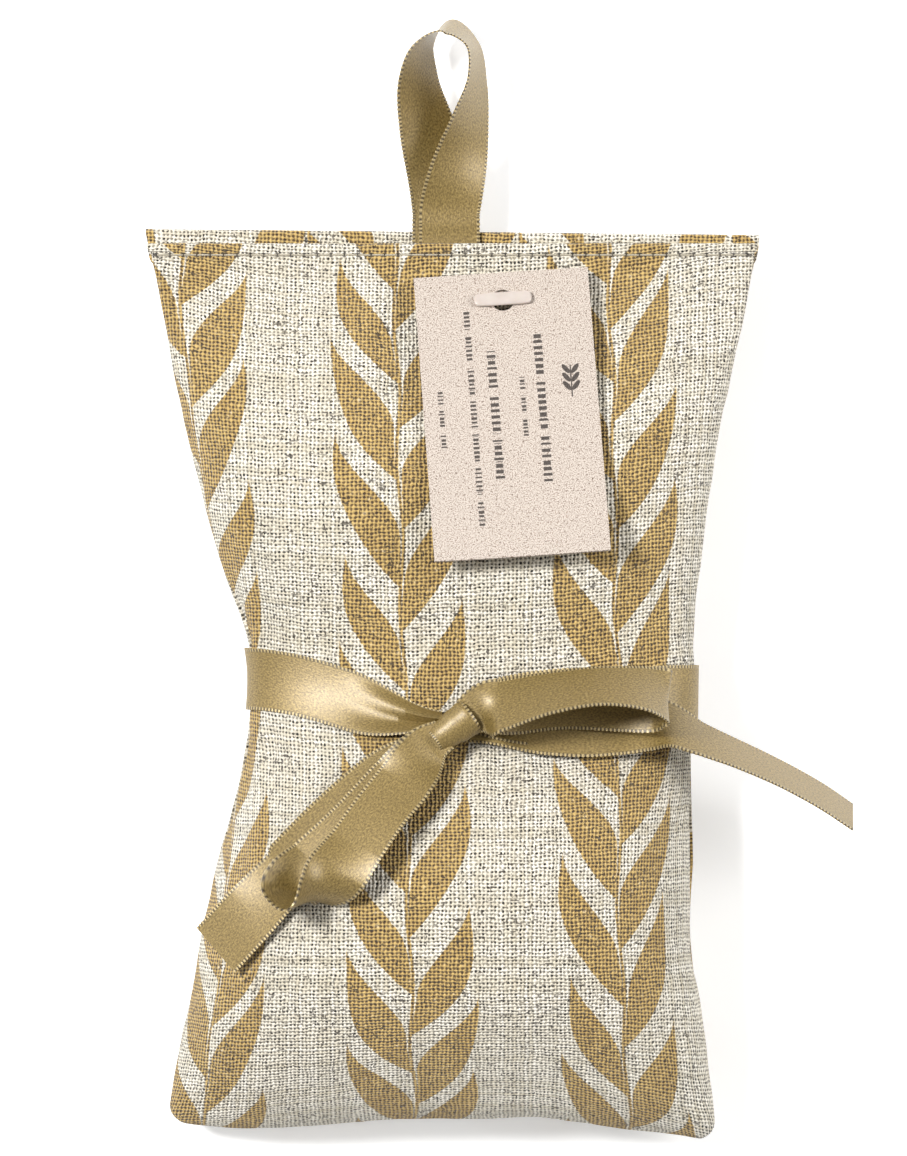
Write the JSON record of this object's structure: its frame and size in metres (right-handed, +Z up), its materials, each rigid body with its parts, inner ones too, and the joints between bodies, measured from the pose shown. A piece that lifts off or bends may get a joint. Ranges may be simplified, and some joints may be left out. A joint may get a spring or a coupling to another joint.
{
  "type": "lavender sachet",
  "caption": "Printed linen bag filled with dried lavender, with a topstitched hem, a ribbon hanging loop, a satin bow tied round its waist and a card swing tag on a plastic fastener.",
  "frame": {"origin": "on the table, in the middle of the flat patch of the back panel that the belly rests on", "axes": "+Z up out of the front panel, +Y towards the hanging loop, +X to the right seen from the front"},
  "size_m": [0.1424, 0.226, 0.0521],
  "materials": {
    "linen": "matte",
    "satin": "satin",
    "thread": "matte",
    "card": "matte",
    "plastic": "satin",
    "buds": "matte"
  },
  "bodies": {
    "bag": {"front_panel": "linen", "back_panel": "linen", "lavender_fill": "buds", "top_stitch_front": "thread", "top_stitch_back": "thread", "loop_sewn_ends": "satin", "side_seam_thread_left": "thread", "side_seam_thread_right": "thread", "bottom_seam_thread": "thread", "waist_band": "satin", "bow_knot": "satin", "bow_tail_right_run": "satin", "bow_tail_left_run": "satin"},
    "loop": {"hanging_loop": "satin"},
    "anchor": {"tag_anchor": "plastic"},
    "tag": {"swing_tag": "card", "tag_fastener": "plastic"},
    "right_loop": {"bow_loop_right": "satin"},
    "left_loop": {"bow_loop_left": "satin"},
    "right_tail": {"bow_tail_right_end": "satin"},
    "left_tail": {"bow_tail_left_end": "satin"}
  },
  "joints": [
    {"name": "loop_fold", "type": "hinge", "parent": "bag", "child": "loop", "pos_m": [-0.0014, 0.1365, 0.0094], "axis": [1, 0, 0], "range_deg": [-5, 90], "stiffness_Nm_per_rad": 0.001},
    {"name": "tag_swing", "type": "hinge", "parent": "bag", "child": "anchor", "pos_m": [0.0097, 0.1252, 0.01123], "axis": [0, 0.351, 0.9364], "range_deg": [-20, 20]},
    {"name": "tag_lift", "type": "hinge", "parent": "anchor", "child": "tag", "pos_m": [0.00964, 0.12728, 0.01451], "axis": [-0.9976, -0.0653, 0.0245], "range_deg": [0, 60]},
    {"name": "right_loop_lift", "type": "hinge", "parent": "bag", "child": "right_loop", "pos_m": [0.00393, 0.03915, 0.03677], "axis": [0.5736, -0.8191, 0], "range_deg": [0, 45], "stiffness_Nm_per_rad": 0.0004},
    {"name": "left_loop_lift", "type": "hinge", "parent": "bag", "child": "left_loop", "pos_m": [-0.00393, 0.03365, 0.03677], "axis": [-0.5736, 0.8191, 0], "range_deg": [0, 45], "stiffness_Nm_per_rad": 0.0004},
    {"name": "right_tail_lift", "type": "hinge", "parent": "bag", "child": "right_tail", "pos_m": [0.0441, 0.0369, 0.02853], "axis": [0, -0.7212, 0.6927], "range_deg": [-15, 45], "stiffness_Nm_per_rad": 0.0004},
    {"name": "left_tail_lift", "type": "hinge", "parent": "bag", "child": "left_tail", "pos_m": [-0.03248, 0.00808, 0.03859], "axis": [-0.6076, 0.5907, -0.5309], "range_deg": [0, 20], "stiffness_Nm_per_rad": 0.0004}
  ]
}
